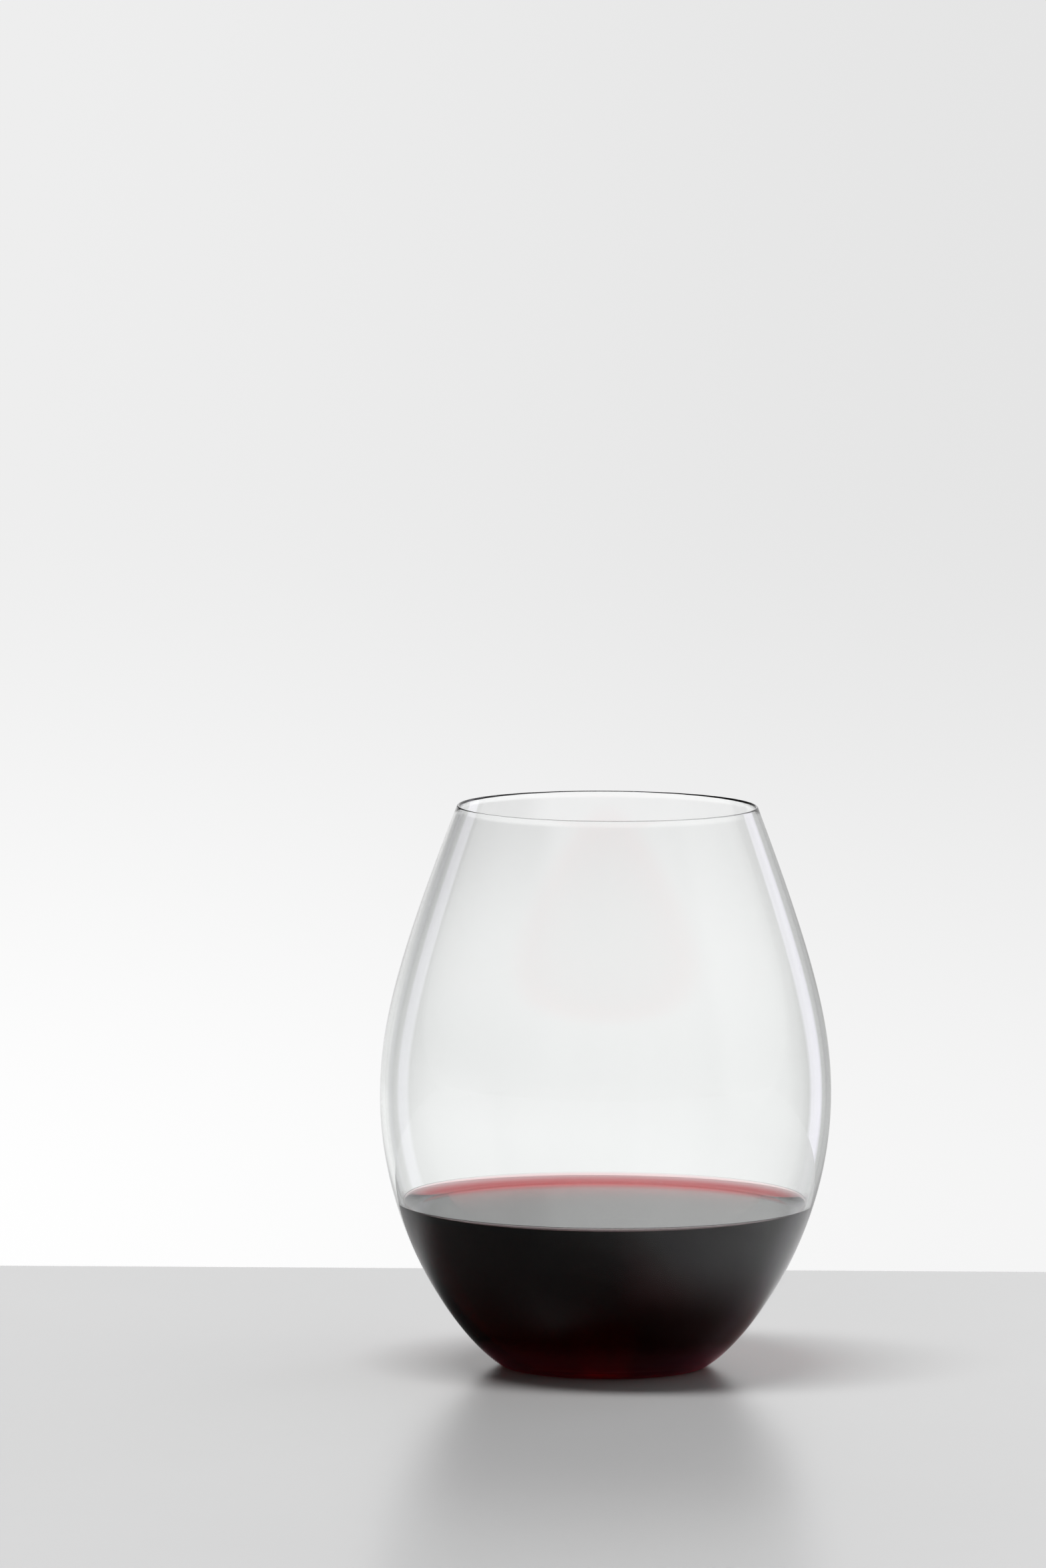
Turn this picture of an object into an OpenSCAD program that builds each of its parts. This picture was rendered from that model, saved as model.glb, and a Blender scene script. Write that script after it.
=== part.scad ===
// Stemless wine glass with a poured serving of red wine.
// Millimetres, +Z up. The origin is the centre of the foot, on the table.

/* [Glass outside] */
// Height from the table to the top of the lip
glass_h = 120; // [96:1:144]
// Outer diameter at the widest point of the bowl
belly_d = 96.2; // [84:0.2:112]
// Height of the widest point above the table
belly_h = 58.5; // [46:0.5:70]
// Outer diameter across the lip
rim_d = 64.2; // [54:0.2:74]
// Outer diameter of the ring that the glass stands on
foot_d = 42; // [36:1:50]

/* [Glass wall] */
// Thickness of the fire-polished lip
rim_t = 0.7; // [0.5:0.1:1.2]
// Wall thickness at the widest point
wall_t = 1.1; // [0.9:0.1:1.8]
// Height of the bowl's floor above the table
floor_h = 3; // [2.4:0.1:4]
// How far the flat of the floor stops inside the foot ring
floor_inset = 2; // [1:0.5:5]
// Width of the flat ring that touches the table
ring_w = 1.6; // [1:0.1:2.4]
// Push-up of the underside at its centre
kick_h = 0.8; // [0.4:0.1:1.4]

/* [Curve of the wall] */
// Run of the heel, as a share of the step from foot to belly
heel_run_share = 0.15; // [0.1:0.01:0.22]
// Pull of the belly downwards, as a share of its height
heel_rise_share = 0.6; // [0.52:0.01:0.66]
// Run of the heel on the inner face, as a share of its own step
inner_heel_run_share = 0.22; // [0.17:0.01:0.27]
// Width taken by the straight upper wall, as a share of the step from lip to belly
shoulder_run_share = 0.71; // [0.6:0.01:0.78]
// Length of the straight upper wall, as a share of the height from belly to lip
shoulder_drop_share = 0.5; // [0.4:0.01:0.56]

/* [Wine] */
// Height of the wine's surface above the table
wine_h = 33.5; // [28:0.1:46]
// Rise of the wine where it clings to the glass
meniscus_h = 2; // [1.4:0.1:2.2]
// Radius of the curve where the wine clings to the glass
meniscus_r = 4.6; // [4.4:0.1:6]

/* [Hidden] */
$fn = 128;
curve_steps = 20;
lip_steps = 8;
kick_steps = 5;
meniscus_steps = 8;

belly_r = belly_d / 2;
inner_belly_r = belly_r - wall_t;
foot_r = foot_d / 2;
floor_r = foot_r - floor_inset;
ring_r = foot_r - ring_w;
lip_r = rim_t / 2;

// Centre of the round lip, in the plane of the profile
lip_mid = [rim_d / 2 - lip_r, glass_h - lip_r];

// From the lip down along the straight upper wall, and its lean from upright
shoulder = [
    shoulder_run_share * (belly_r - lip_mid.x),
    shoulder_drop_share * (belly_h - lip_mid.y)
];
lean = atan2(shoulder.x, -shoulder.y);
lip_out = lip_mid + lip_r * [cos(lean), sin(lean)];
lip_in = lip_mid - lip_r * [cos(lean), sin(lean)];

// A point of a cubic curve through four control points, with t from 0 to 1
function bezier(p, t) =
    pow(1 - t, 3) * p[0] + 3 * pow(1 - t, 2) * t * p[1]
    + 3 * (1 - t) * pow(t, 2) * p[2] + pow(t, 3) * p[3];

function curve(p) = [for (i = [0 : curve_steps]) bezier(p, i / curve_steps)];

// Foot or floor up to the widest point: level at the start, upright at the end
function heel(start, wide, run_share) = [
    start,
    start + [run_share * (wide.x - start.x), 0],
    wide - [0, heel_rise_share * (wide.y - start.y)],
    wide
];

// Widest point up to the lip. Its first pull is as long as it takes for the two
// curves to bend alike where they meet, so the wall shows no break at the belly.
function upper(low, lip) =
    let (wide = low[3])
    let (knee = lip + shoulder)
    let (pull = (wide.y - low[2].y) * sqrt((wide.x - knee.x) / (wide.x - low[1].x)))
    [wide, wide + [0, pull], knee, lip];

outer_heel = heel([foot_r, 0], [belly_r, belly_h], heel_run_share);
inner_heel = heel([floor_r, floor_h], [inner_belly_r, belly_h], inner_heel_run_share);
outer_wall = concat(curve(outer_heel), tail(curve(upper(outer_heel, lip_out))));
inner_wall = concat(curve(inner_heel), tail(curve(upper(inner_heel, lip_in))));

function tail(points) = [for (i = [1 : len(points) - 1]) points[i]];
function reversed(points) = [for (i = [len(points) - 1 : -1 : 0]) points[i]];

// Half round over the lip, between the ends of the outer and the inner wall
lip_arc = [
    for (i = [1 : lip_steps - 1])
        let (a = lean + 180 * i / lip_steps)
        lip_mid + lip_r * [cos(a), sin(a)]
];

// Shallow dome under the foot, from its centre out to the ring
kick_r = (pow(ring_r, 2) + pow(kick_h, 2)) / (2 * kick_h);
kick_arc = [
    for (i = [0 : kick_steps])
        let (r = ring_r * i / kick_steps)
        [r, max(0, kick_h - kick_r + sqrt(pow(kick_r, 2) - pow(r, 2)))]
];

// Where the wine ends on the inner wall, and how steep it is there
radius_at_height = [for (p = inner_wall) [p.y, p.x]];
wine_edge = [lookup(wine_h + meniscus_h, radius_at_height), wine_h + meniscus_h];
meniscus_angle = acos(1 - meniscus_h / meniscus_r);
meniscus_mid = [wine_edge.x - meniscus_r * sin(meniscus_angle), wine_h + meniscus_r];
wetted_wall = [for (p = inner_wall) if (p.y < wine_edge.y) p];
meniscus_arc = [
    for (i = [0 : meniscus_steps])
        let (a = meniscus_angle * (1 - i / meniscus_steps))
        meniscus_mid + meniscus_r * [sin(a), -cos(a)]
];

module glass_bowl() {
    color([0.88, 0.92, 0.91, 0.4])
        rotate_extrude()
            polygon(concat(
                kick_arc,
                outer_wall,
                lip_arc,
                reversed(inner_wall),
                [[0, floor_h]]
            ));
}

module red_wine() {
    color([0.3, 0.02, 0.05])
        rotate_extrude()
            polygon(concat(
                [[0, floor_h]],
                wetted_wall,
                meniscus_arc,
                [[0, wine_h]]
            ));
}

glass_bowl();
red_wine();
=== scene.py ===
# Stemless wine glass with a serving of red wine, on a satin table in soft studio light.
# Metres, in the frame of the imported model: +Z up, the centre of the foot at the origin.
import math

import bpy
from mathutils import Matrix, Vector


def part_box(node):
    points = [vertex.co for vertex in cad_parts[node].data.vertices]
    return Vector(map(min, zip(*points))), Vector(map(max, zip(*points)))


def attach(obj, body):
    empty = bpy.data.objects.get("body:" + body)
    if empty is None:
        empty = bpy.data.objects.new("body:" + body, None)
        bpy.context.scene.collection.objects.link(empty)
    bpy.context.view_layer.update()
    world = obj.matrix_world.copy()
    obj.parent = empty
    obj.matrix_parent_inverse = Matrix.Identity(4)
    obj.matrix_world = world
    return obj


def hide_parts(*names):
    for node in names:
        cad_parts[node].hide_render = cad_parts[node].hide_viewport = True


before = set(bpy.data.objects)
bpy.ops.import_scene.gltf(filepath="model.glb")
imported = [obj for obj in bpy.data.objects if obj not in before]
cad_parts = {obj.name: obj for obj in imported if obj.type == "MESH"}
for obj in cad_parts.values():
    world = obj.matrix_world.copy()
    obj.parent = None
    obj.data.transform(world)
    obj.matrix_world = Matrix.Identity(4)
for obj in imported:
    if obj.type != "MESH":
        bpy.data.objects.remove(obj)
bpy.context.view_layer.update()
scene = bpy.context.scene
mm = 0.001
print("frame loaded:", ", ".join(sorted(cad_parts)))


# Camera
# Where the camera of the photograph stood, found from the outline of the glass
shot = {
    "frameSize": (1568, 2350),  # pixels
    "footAt": (905.0, 2045.2),  # pixel that shows the centre of the foot
    "distance": 2.7354,  # from the lens to the centre of the foot
    "lens": 293.72,  # mm, with the sensor along the long side
    "sensor": 36.0,  # mm
    "tiltDown": 5.76,  # degrees
    "roll": -0.346,  # degrees
    "nearest": 0.05,
    "farthest": 50,
}


def makeCamera():
    data = bpy.data.cameras.new("camera")
    data.lens = shot["lens"]
    data.sensor_width = shot["sensor"]
    data.clip_start = shot["nearest"]
    data.clip_end = shot["farthest"]
    camera = bpy.data.objects.new("camera", data)
    scene.collection.objects.link(camera)
    scene.camera = camera

    tilt = math.radians(shot["tiltDown"])
    roll = math.radians(shot["roll"])
    ahead = Vector((0, math.cos(tilt), -math.sin(tilt)))
    down = Vector((0, -math.sin(tilt), -math.cos(tilt)))
    right = Vector((1, 0, 0))
    rolledRight = math.cos(roll) * right + math.sin(roll) * down
    rolledDown = math.cos(roll) * down - math.sin(roll) * right

    width, height = shot["frameSize"]
    focal = shot["lens"] / shot["sensor"] * height
    acrossPixels = shot["footAt"][0] - width / 2
    downPixels = shot["footAt"][1] - height / 2
    toFoot = (ahead * focal + rolledRight * acrossPixels + rolledDown * downPixels).normalized()
    place = -toFoot * shot["distance"]
    turn = Matrix((rolledRight, -rolledDown, -ahead)).transposed()
    camera.matrix_world = Matrix.Translation(place) @ turn.to_4x4()


makeCamera()
print("camera placed")


# Small helpers for node trees
def plugIn(tree, socket, value):
    if isinstance(value, bpy.types.NodeSocket):
        tree.links.new(value, socket)
    else:
        socket.default_value = value


def addNode(tree, kind, inputs=None, **settings):
    node = tree.nodes.new(kind)
    for name, value in settings.items():
        setattr(node, name, value)
    for name, value in (inputs or {}).items():
        plugIn(tree, node.inputs[name], value)
    return node


def mathNode(tree, operation, *values):
    return addNode(tree, "ShaderNodeMath", dict(enumerate(values)), operation=operation).outputs[0]


def multiplyNode(tree, first, second):
    inputs = {0: first, 1: second}
    return addNode(tree, "ShaderNodeVectorMath", inputs, operation="MULTIPLY").outputs[0]


def mixNode(tree, factor, first, second):
    # The colour sockets of this node share their names with others, so they go by number
    node = addNode(tree, "ShaderNodeMix", data_type="RGBA")
    plugIn(tree, node.inputs[0], factor)
    plugIn(tree, node.inputs[6], first)
    plugIn(tree, node.inputs[7], second)
    return node.outputs[2]


def grey(level):
    return (level, level, level, 1)


def mixGreys(tree, factor, first, second):
    return mixNode(tree, factor, grey(first), grey(second))


def smoothNode(tree, value, reach):
    # 0 up to the first end of the reach, 1 from the second end on, and smooth in between
    inputs = {"Value": value, "From Min": reach[0], "From Max": reach[1]}
    return addNode(tree, "ShaderNodeMapRange", inputs, interpolation_type="SMOOTHSTEP").outputs[0]


def rampNode(tree, value, stops):
    # Grey levels at given places, eased from stop to stop
    low, high = stops[0][0], stops[-1][0]
    spread = addNode(tree, "ShaderNodeMapRange", {"Value": value, "From Min": low, "From Max": high})
    ramp = addNode(tree, "ShaderNodeValToRGB", {"Fac": spread.outputs[0]})
    ramp.color_ramp.interpolation = "EASE"
    elements = ramp.color_ramp.elements
    while len(elements) > 1:
        elements.remove(elements[0])
    for number, (place, level) in enumerate(stops):
        position = (place - low) / (high - low)
        element = elements[0] if number == 0 else elements.new(position)
        element.position = position
        element.color = grey(level)
    return ramp.outputs["Color"]


def newMaterial(name):
    material = bpy.data.materials.new(name)
    material.use_nodes = True
    tree = material.node_tree
    tree.nodes.clear()
    output = addNode(tree, "ShaderNodeOutputMaterial")
    return material, tree, output


# Studio
# Directions are in degrees from straight ahead of the camera, positive to the right,
# or in parts of a direction one long: X to the right, Z up
studio = {
    # Brightness by degrees, near the horizon and above it
    "aroundLow": [(-180, 0.08), (-120, 0.15), (-100, 0.35), (-70, 0.35), (-55, 0.25), (-36, 0.35),
                  (-28, 0.88), (-22, 0.92), (4, 0.92), (8, 0.6), (33.5, 0.5), (34.5, 1.3),
                  (49.5, 1.3), (50.5, 0.35), (62, 0.35), (75, 0.5), (110, 0.5), (125, 0.2),
                  (180, 0.08)],
    "aroundHigh": [(-180, 0.08), (-120, 0.1), (-100, 0.12), (-70, 0.1), (-55, 0.05), (-32, 0.03),
                   (-20, 0.06), (-9, 0.2), (-3, 0.88), (4, 0.92), (8, 0.55), (33.5, 0.5),
                   (34.5, 1.1), (49.5, 1.1), (50.5, 0.35), (62, 0.35), (75, 0.5), (110, 0.5),
                   (125, 0.2), (180, 0.08)],
    "highReach": (-0.04, 0.12),  # Z
    "coolStrip": (34, 50),  # degrees
    "coolTint": (0.985, 0.955, 1.07, 1),
    "behindCamera": 0.5,  # seen through the glass only
    "behindReach": (110, 140),  # degrees to either side
    # The backdrop as the camera sees it, from low to high, and a factor on it from left to right
    "backdrop": (0.955, 0.82),
    "backdropReach": (-0.135, -0.075),  # Z
    "sideFactor": (1.045, 0.955),
    "sideReach": (-0.05, 0.05),  # X
    # Factor on what the glass lets through, low down, high up, and high up on the left
    "throughLow": 1.07,
    "throughHigh": 0.95,
    "throughHighLeft": 0.86,
    "throughReach": (-0.135, -0.095),  # Z
    "throughLeftReach": (-0.0005, -0.0065),  # X
}

# The lamp over the table, by how far its direction leans from straight up
lamp = {
    "level": 22.5,
    "mirroredLevel": 3.0,  # where glass and wine show it to the camera
    "middle": (-0.17, -0.09),  # lean to the left and to the front
    "reach": ((0.36, 0.2), (0.14, 0.06)),  # from dark to full, across and in depth
}


def surroundings(tree, direction, degrees):
    low = rampNode(tree, degrees, studio["aroundLow"])
    high = rampNode(tree, degrees, studio["aroundHigh"])
    light = mixNode(tree, smoothNode(tree, direction["Z"], studio["highReach"]), low, high)
    start, end = studio["coolStrip"]
    cool = mathNode(tree, "MULTIPLY", mathNode(tree, "GREATER_THAN", degrees, start),
                    mathNode(tree, "LESS_THAN", degrees, end))
    return multiplyNode(tree, light, mixNode(tree, cool, grey(1), studio["coolTint"]))


def lampShape(tree, direction):
    # 1 where the lamp is, 0 elsewhere
    shape = mathNode(tree, "GREATER_THAN", direction["Z"], 0)
    for axis, middle, reach in zip("XY", lamp["middle"], lamp["reach"]):
        leaning = mathNode(tree, "DIVIDE", direction[axis], direction["Z"])
        apart = mathNode(tree, "ABSOLUTE", mathNode(tree, "SUBTRACT", leaning, middle))
        shape = mathNode(tree, "MULTIPLY", shape, smoothNode(tree, apart, reach))
    return shape


def lampLevel(tree, ray):
    # Full for the light that falls on the table, also by way of the glass
    offTable = mathNode(tree, "LESS_THAN", ray["Diffuse Depth"], 1)
    mirrored = mathNode(tree, "MULTIPLY", ray["Is Glossy Ray"], offTable)
    return mixGreys(tree, mirrored, lamp["level"], lamp["mirroredLevel"])


def throughFactor(tree, direction, ray):
    toLeft = smoothNode(tree, direction["X"], studio["throughLeftReach"])
    high = mixGreys(tree, toLeft, studio["throughHigh"], studio["throughHighLeft"])
    climb = smoothNode(tree, direction["Z"], studio["throughReach"])
    factor = mixNode(tree, climb, grey(studio["throughLow"]), high)
    return mixNode(tree, ray["Is Transmission Ray"], grey(1), factor)


def backdropSeen(tree, direction):
    climb = smoothNode(tree, direction["Z"], studio["backdropReach"])
    across = smoothNode(tree, direction["X"], studio["sideReach"])
    return multiplyNode(tree, mixGreys(tree, climb, *studio["backdrop"]),
                        mixGreys(tree, across, *studio["sideFactor"]))


def makeWorld():
    world = bpy.data.worlds.new("studio")
    world.use_nodes = True
    scene.world = world
    tree = world.node_tree
    tree.nodes.clear()
    place = addNode(tree, "ShaderNodeTexCoord").outputs["Generated"]
    direction = addNode(tree, "ShaderNodeSeparateXYZ", {0: place}).outputs
    ray = addNode(tree, "ShaderNodeLightPath").outputs
    around = mathNode(tree, "ARCTAN2", direction["X"], direction["Y"])
    degrees = mathNode(tree, "MULTIPLY", around, math.degrees(1))

    light = surroundings(tree, direction, degrees)
    light = mixNode(tree, lampShape(tree, direction), light, lampLevel(tree, ray))
    behind = smoothNode(tree, mathNode(tree, "ABSOLUTE", degrees), studio["behindReach"])
    behind = mathNode(tree, "MULTIPLY", behind, ray["Is Transmission Ray"])
    light = mixNode(tree, behind, light, grey(studio["behindCamera"]))
    light = multiplyNode(tree, light, throughFactor(tree, direction, ray))
    light = mixNode(tree, ray["Is Camera Ray"], light, backdropSeen(tree, direction))
    emit = addNode(tree, "ShaderNodeBackground", {"Color": light})
    output = addNode(tree, "ShaderNodeOutputWorld")
    tree.links.new(emit.outputs[0], output.inputs["Surface"])


makeWorld()
print("studio lit")


# Table
table = {
    "backEdge": 0.149,  # from the centre of the foot to the far edge
    "front": 3.2,
    "halfWidth": 2.4,
    "thick": 0.022,
    "edgeRound": 0.0015,
    "edgeSegments": 4,
    "grey": 0.6,
    # Painted light: the table's grey is a little lighter where it is seen through the glass
    "paintedLighterGreyThroughGlass": 0.64,
    "paintedShadeFactor": (0.985, 1.05),  # painted shade and light, a factor on the grey near the middle line and far from it
    "paintedShadeReach": (0.04, 0.14),
    "roughness": 0.24,
    "gloss": 0.38,
    "mottleScale": 9.0,
    "mottleDetail": 5.0,
    "mottleLeast": 0.97,
    "mottleSpread": 0.06,
    "grainScale": 900.0,
    "grainDetail": 3.0,
    "grainStrength": 0.05,
    "grainHeight": 0.0002,
    # Painted reflections: tones of the table only as glass and wine mirror it, with painted shade on
    # the left and by the foot and painted light on the right, matched to the reflections in the
    # photograph
    "mirroredLeft": 0.1,
    "mirroredLeftBack": 0.55,
    "mirroredRight": 0.9,
    "mirroredFar": 0.62,
    # Painted shade by the foot, dark in the reflections
    "paintedShadeByFoot": 0.03,
    "paintedWineLightByFoot": (0.3, 0.1, 0.1, 1),  # painted red light in the reflections, where light comes through the wine
    # Painted red glow in the reflections under the heel
    "paintedRedGlowUnderHeel": (0.85, 0.28, 0.36, 1),
    "acrossReach": (-0.06, 0.1),  # from left to right
    "backReach": (0, 0.06),
    "farReach": (0.08, 0.32),  # from the centre of the foot
    "footReach": (0.043, 0.1),
    "footRightReach": (0, 0.03),
    "heelReach": (0.032, 0.025),
    "pulledIn": 0.03,  # how much closer the painted shade by the foot ends on the right
    "pulledInReach": (0, 0.05),
}


# Painted reflections: the table's colour in glossy rays, with painted shade on the left and by the
# foot, painted light on the right, and painted red light by the foot and under the heel
def paintedReflectionTone(tree, place, spot):
    toBack = smoothNode(tree, spot["Y"], table["backReach"])
    onLeft = mixGreys(tree, toBack, table["mirroredLeft"], table["mirroredLeftBack"])
    across = smoothNode(tree, spot["X"], table["acrossReach"])
    tone = mixNode(tree, across, onLeft, grey(table["mirroredRight"]))
    away = addNode(tree, "ShaderNodeVectorMath", {0: place}, operation="LENGTH").outputs["Value"]
    tone = mixNode(tree, smoothNode(tree, away, table["farReach"]), tone, grey(table["mirroredFar"]))

    # Painted shade by the foot, with painted red light on its right and under the heel
    footRight = smoothNode(tree, spot["X"], table["footRightReach"])
    byFoot = mixNode(tree, footRight, grey(table["paintedShadeByFoot"]), table["paintedWineLightByFoot"])
    byHeel = smoothNode(tree, away, table["heelReach"])
    byFoot = mixNode(tree, byHeel, byFoot, table["paintedRedGlowUnderHeel"])
    pull = smoothNode(tree, spot["X"], table["pulledInReach"])
    pulled = mathNode(tree, "MULTIPLY_ADD", pull, table["pulledIn"], away)
    return mixNode(tree, smoothNode(tree, pulled, table["footReach"]), byFoot, tone)


def tableMaterial():
    material, tree, output = newMaterial("satin grey table")
    place = addNode(tree, "ShaderNodeTexCoord").outputs["Object"]
    spot = addNode(tree, "ShaderNodeSeparateXYZ", {0: place}).outputs
    ray = addNode(tree, "ShaderNodeLightPath").outputs
    # Painted reflections: glossy rays see the table in other tones than its own grey
    colour = mixNode(tree, ray["Is Glossy Ray"], grey(table["grey"]), paintedReflectionTone(tree, place, spot))
    # Painted light: a lighter grey where the table is seen through the glass
    colour = mixNode(tree, ray["Is Transmission Ray"], colour, grey(table["paintedLighterGreyThroughGlass"]))
    # Painted shade near the middle line and painted light far from it
    aside = smoothNode(tree, mathNode(tree, "ABSOLUTE", spot["X"]), table["paintedShadeReach"])
    colour = multiplyNode(tree, colour, mixGreys(tree, aside, *table["paintedShadeFactor"]))
    mottle = addNode(tree, "ShaderNodeTexNoise",
                     {"Vector": place, "Scale": table["mottleScale"], "Detail": table["mottleDetail"]})
    mottled = mathNode(tree, "MULTIPLY_ADD", mottle.outputs["Fac"],
                       table["mottleSpread"], table["mottleLeast"])
    colour = multiplyNode(tree, colour, mottled)
    grain = addNode(tree, "ShaderNodeTexNoise",
                    {"Vector": place, "Scale": table["grainScale"], "Detail": table["grainDetail"]})
    bump = addNode(tree, "ShaderNodeBump",
                   {"Height": grain.outputs["Fac"], "Strength": table["grainStrength"],
                    "Distance": table["grainHeight"]})
    shader = addNode(tree, "ShaderNodeBsdfPrincipled",
                     {"Base Color": colour, "Roughness": table["roughness"],
                      "Specular IOR Level": table["gloss"], "Normal": bump.outputs["Normal"]})
    tree.links.new(shader.outputs[0], output.inputs["Surface"])
    return material


def makeTable():
    left, right = -table["halfWidth"], table["halfWidth"]
    front, back = -table["front"], table["backEdge"]
    outline = ((left, front), (right, front), (right, back), (left, back))
    corners = [(x, y, z) for z in (-table["thick"], 0) for x, y in outline]
    faces = [(0, 3, 2, 1), (4, 5, 6, 7), (0, 1, 5, 4), (1, 2, 6, 5), (2, 3, 7, 6), (3, 0, 4, 7)]
    mesh = bpy.data.meshes.new("table")
    mesh.from_pydata(corners, [], faces)
    piece = bpy.data.objects.new("table", mesh)
    scene.collection.objects.link(piece)
    edge = piece.modifiers.new("round edge", "BEVEL")
    edge.width = table["edgeRound"]
    edge.segments = table["edgeSegments"]
    mesh.materials.append(tableMaterial())


makeTable()
print("table made")


# Profile of the glass, drawn as (radius, height) points from the foot upwards
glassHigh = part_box("glass_bowl")[1]
bowl = {
    "height": glassHigh.z,
    "bellyRadius": glassHigh.x,
    "bellyHeight": 58.5 * mm,
    "lipRadius": 32.1 * mm,  # outside
    "footRadius": 21 * mm,
    "lipThick": 0.7 * mm,
    "wallThick": 1.1 * mm,  # at the belly
    "floorHeight": 3.0 * mm,
    "floorInset": 2.0 * mm,
    "ringWidth": 1.6 * mm,
    "pushUp": 0.8 * mm,  # of the underside
    "heelRun": 0.15,  # share of the step from foot to belly
    "heelRise": 0.6,
    "innerHeelRun": 0.22,
    "shoulderRun": 0.71,  # share of the step from lip to belly
    "shoulderDrop": 0.5,
    "curveSteps": 72,
    "lipSteps": 16,
    "underSteps": 12,
    "sides": 288,
}


def bezier(points, steps):
    # Points along a cubic curve through four control points, both ends included
    drawn = []
    for step in range(steps + 1):
        t = step / steps
        shares = ((1 - t) ** 3, 3 * (1 - t) ** 2 * t, 3 * (1 - t) * t ** 2, t ** 3)
        drawn.append(sum((share * point for share, point in zip(shares, points)), Vector((0, 0))))
    return drawn


def wallCurve(start, wide, lip, run, shoulder):
    # Level at the foot, upright at the belly, and straight towards the lip
    low = [start, start + Vector((run * (wide.x - start.x), 0)),
           wide - Vector((0, bowl["heelRise"] * (wide.y - start.y))), wide]
    knee = lip + shoulder
    # The first pull upwards makes the two curves bend alike where they meet
    pull = (wide.y - low[2].y) * math.sqrt((wide.x - knee.x) / (wide.x - low[1].x))
    high = [wide, wide + Vector((0, pull)), knee, lip]
    steps = bowl["curveSteps"]
    return bezier(low, steps) + bezier(high, steps)[1:]


def wallProfiles():
    # Outer wall, round lip and inner wall
    lipRound = bowl["lipThick"] / 2
    lipMid = Vector((bowl["lipRadius"] - lipRound, bowl["height"] - lipRound))
    belly = Vector((bowl["bellyRadius"], bowl["bellyHeight"]))
    shoulder = Vector((bowl["shoulderRun"] * (belly.x - lipMid.x),
                       bowl["shoulderDrop"] * (belly.y - lipMid.y)))
    lean = math.atan2(shoulder.x, -shoulder.y)
    across = lipRound * Vector((math.cos(lean), math.sin(lean)))
    foot = Vector((bowl["footRadius"], 0))
    floorEdge = Vector((bowl["footRadius"] - bowl["floorInset"], bowl["floorHeight"]))
    innerBelly = belly - Vector((bowl["wallThick"], 0))
    outer = wallCurve(foot, belly, lipMid + across, bowl["heelRun"], shoulder)
    inner = wallCurve(floorEdge, innerBelly, lipMid - across, bowl["innerHeelRun"], shoulder)
    lip = []
    for step in range(1, bowl["lipSteps"]):
        turn = lean + math.pi * step / bowl["lipSteps"]
        lip.append(lipMid + lipRound * Vector((math.cos(turn), math.sin(turn))))
    return outer, lip, inner


def undersideProfile():
    # Shallow dome from its centre out to the ring that the glass stands on
    ring = bowl["footRadius"] - bowl["ringWidth"]
    dome = (ring ** 2 + bowl["pushUp"] ** 2) / (2 * bowl["pushUp"])
    under = []
    for step in range(bowl["underSteps"] + 1):
        radius = ring * step / bowl["underSteps"]
        under.append(Vector((radius, bowl["pushUp"] - dome + math.sqrt(dome ** 2 - radius ** 2))))
    under[-1].y = 0  # flat on the table
    return under


def radiusAt(profile, height):
    # Radius where a profile that climbs passes a height
    for low, high in zip(profile, profile[1:]):
        if low.y <= height <= high.y and high.y > low.y:
            return low.x + (high.x - low.x) * (height - low.y) / (high.y - low.y)


def turned(name, profile):
    # Turns a profile round the Z axis into a closed smooth mesh, with one point where it meets the axis
    sides = bowl["sides"]
    rings = []
    points = []
    for spot in profile:
        if spot.x == 0:
            rings.append([len(points)] * sides)
            points.append((0, 0, spot.y))
            continue
        rings.append(list(range(len(points), len(points) + sides)))
        for side in range(sides):
            angle = 2 * math.pi * side / sides
            points.append((spot.x * math.cos(angle), spot.x * math.sin(angle), spot.y))
    faces = []
    for first, second in zip(rings, rings[1:]):
        for side in range(sides):
            nextSide = (side + 1) % sides
            corners = (first[side], first[nextSide], second[nextSide], second[side])
            faces.append(tuple(dict.fromkeys(corners)))
    mesh = bpy.data.meshes.new(name)
    mesh.from_pydata(points, [], faces)
    mesh.shade_smooth()
    piece = bpy.data.objects.new(name, mesh)
    scene.collection.objects.link(piece)
    return piece


def markFaces(piece, name, firstStrip):
    # A face attribute for the material: 1 from the given strip of the profile on, 0 before it
    marks = piece.data.attributes.new(name, "FLOAT", "FACE")
    for number, mark in enumerate(marks.data):
        mark.value = float(number // bowl["sides"] >= firstStrip)


def clearBody(tree, output, body, refractions, mark, normal=None):
    # Colourless at its surface and tinted by the depth that light crosses in it. The surface has the
    # second refraction where the face attribute is 1, and the first one elsewhere.
    inputs = {"Base Color": (1, 1, 1, 1), "Roughness": 0.0, "Transmission Weight": 1.0}
    if normal is not None:
        inputs["Normal"] = normal
    surfaces = []
    for refraction in refractions:
        shader = addNode(tree, "ShaderNodeBsdfPrincipled", {**inputs, "IOR": refraction})
        surfaces.append(shader.outputs[0])
    marked = addNode(tree, "ShaderNodeAttribute", attribute_name=mark).outputs["Fac"]
    surface = addNode(tree, "ShaderNodeMixShader", {0: marked, 1: surfaces[0], 2: surfaces[1]})
    depth = addNode(tree, "ShaderNodeVolumeAbsorption",
                    {"Color": body["depthTint"], "Density": body["depthDensity"]})
    tree.links.new(surface.outputs[0], output.inputs["Surface"])
    tree.links.new(depth.outputs[0], output.inputs["Volume"])


outer, lip, inner = wallProfiles()


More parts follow.
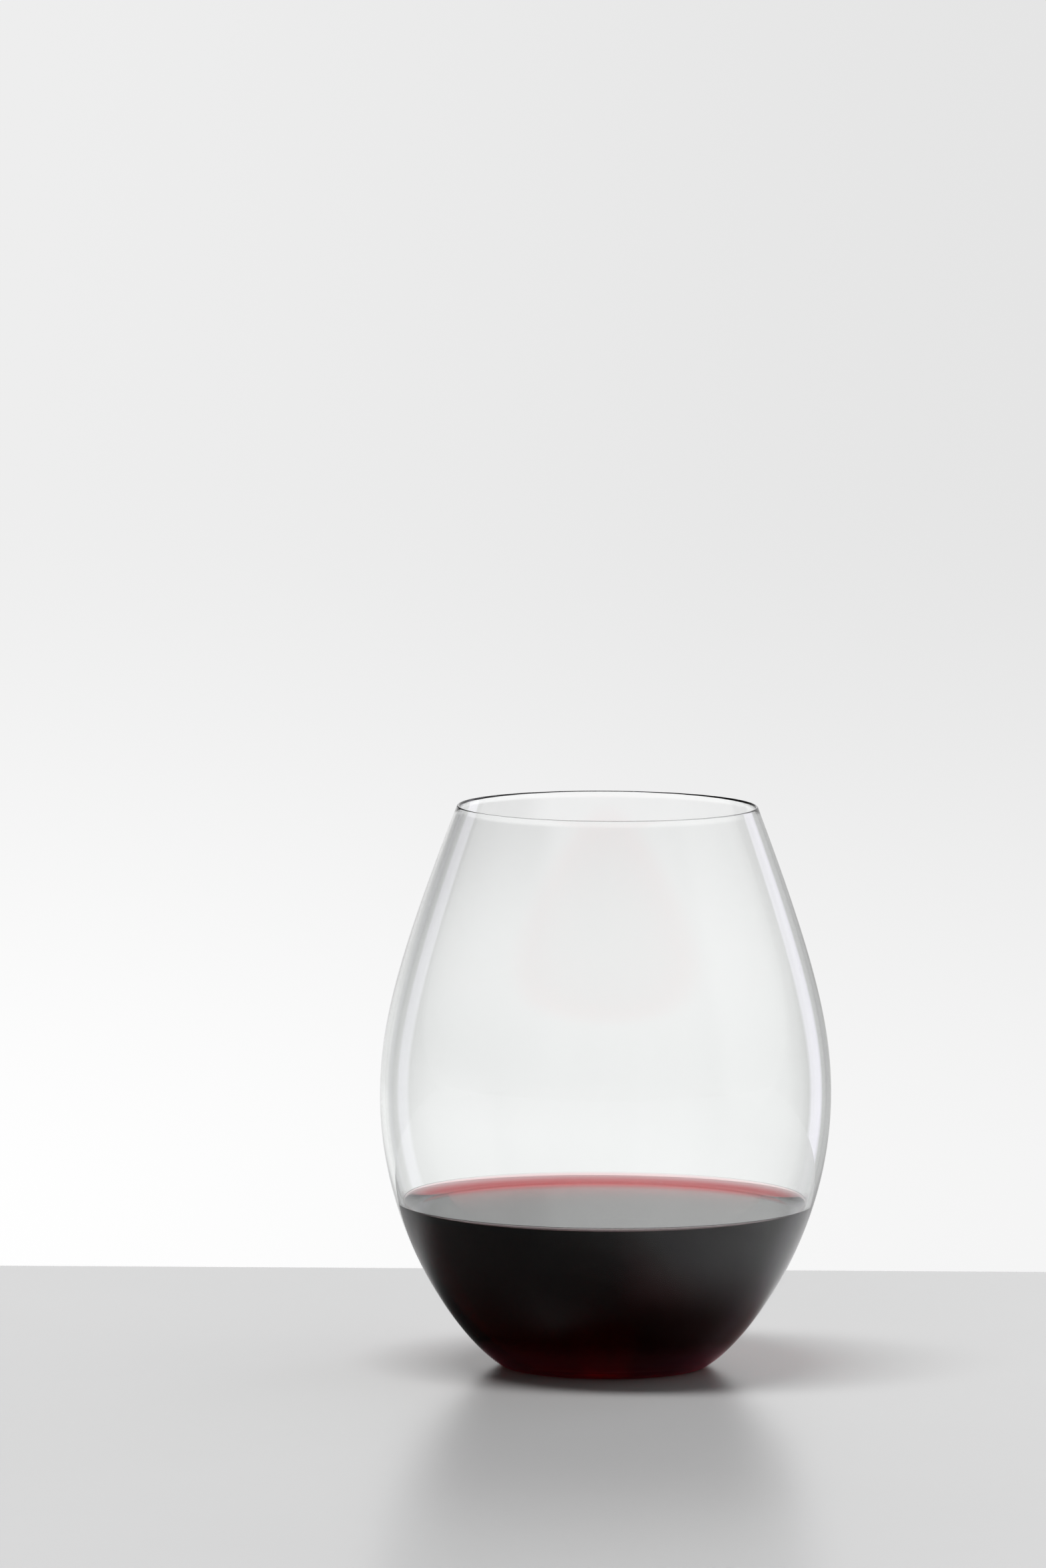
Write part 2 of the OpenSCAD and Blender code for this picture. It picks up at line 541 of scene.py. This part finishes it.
# The wine's sizes come before the glass, whose mesh has a ring of points where the wine ends
wine = {
    "height": 33.5 * mm,
    "clingHeight": 2.0 * mm,
    "clingRadius": 4.6 * mm,
    "bite": 0.05 * mm,  # how far the wine reaches into the wall, so that no air lies between them
    "clingSteps": 24,
    "refraction": 1.34,
    "depthTint": (0.915, 0.05, 0.09, 1),
    "depthDensity": 1000,  # per metre
}
contactHeight = wine["height"] + wine["clingHeight"]


# Glass
glass = {
    "refraction": 1.52,
    "depthTint": (0.0, 0.85, 0.45, 1),
    "depthDensity": 7.0,  # per metre
    "waveScale": 14.0,
    "waveDetail": 1.0,
    "waveHeight": 0.012 * mm,
}


def glassMaterial():
    material, tree, output = newMaterial("clear glass")
    place = addNode(tree, "ShaderNodeTexCoord").outputs["Object"]
    waves = addNode(tree, "ShaderNodeTexNoise",
                    {"Vector": place, "Scale": glass["waveScale"], "Detail": glass["waveDetail"]})
    bump = addNode(tree, "ShaderNodeBump",
                   {"Height": waves.outputs["Fac"], "Strength": 1.0, "Distance": glass["waveHeight"]})
    # Under the wine the wine's own wall bends the light, so the glass leaves it as it is
    clearBody(tree, output, glass, (glass["refraction"], 1.0), "underWine", bump.outputs["Normal"])
    return material


def makeGlass():
    wetted = [spot for spot in inner if spot.y < contactHeight]
    dry = [spot for spot in inner if spot.y > contactHeight]
    contact = Vector((radiusAt(inner, contactHeight), contactHeight))
    floorCentre = Vector((0, bowl["floorHeight"]))
    aboveWine = undersideProfile() + outer + lip + dry[::-1]
    piece = turned("wine_glass", aboveWine + [contact] + wetted[::-1] + [floorCentre])
    markFaces(piece, "underWine", len(aboveWine))
    piece.data.materials.append(glassMaterial())
    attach(piece, "root")
    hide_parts("glass_bowl")


makeGlass()
print("glass made")


# Wine
def wineMaterial():
    material, tree, output = newMaterial("red wine")
    toGlass = wine["refraction"] / glass["refraction"]
    clearBody(tree, output, wine, (toGlass, wine["refraction"]), "openTop")
    return material


def pushedOut(profile, distance):
    # The profile shifted square to itself, away from the axis
    moved = []
    for number, spot in enumerate(profile):
        before = profile[max(number - 1, 0)]
        after = profile[min(number + 1, len(profile) - 1)]
        along = (after - before).normalized()
        moved.append(spot + distance * Vector((along.y, -along.x)))
    return moved


def clingCurve():
    # From the wall down to the level surface
    radius = wine["clingRadius"]
    edge = radiusAt(inner, contactHeight)
    steep = math.acos(1 - wine["clingHeight"] / radius)
    middle = Vector((edge - radius * math.sin(steep), wine["height"] + radius))
    cling = []
    for step in range(wine["clingSteps"] + 1):
        turn = steep * (1 - step / wine["clingSteps"])
        cling.append(middle + radius * Vector((math.sin(turn), -math.cos(turn))))
    return cling


def makeWine():
    reach = pushedOut(inner, wine["bite"])
    bottom = Vector((0, bowl["floorHeight"] - wine["bite"]))
    wall = [spot for spot in reach if spot.y < contactHeight]
    wallTop = Vector((radiusAt(reach, contactHeight), contactHeight))
    inGlass = [bottom] + wall + [wallTop]
    middle = Vector((0, wine["height"]))
    piece = turned("poured_red_wine", inGlass + clingCurve() + [middle])
    markFaces(piece, "openTop", len(inGlass))
    piece.data.materials.append(wineMaterial())
    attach(piece, "root")
    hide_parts("red_wine")


makeWine()
print("wine poured")


# Render settings that the looks depend on
lightBounces = 24  # enough for both walls of the glass and the wine behind them
scene.view_settings.view_transform = "Standard"
scene.cycles.max_bounces = lightBounces
scene.cycles.transmission_bounces = lightBounces
scene.cycles.use_denoising = True
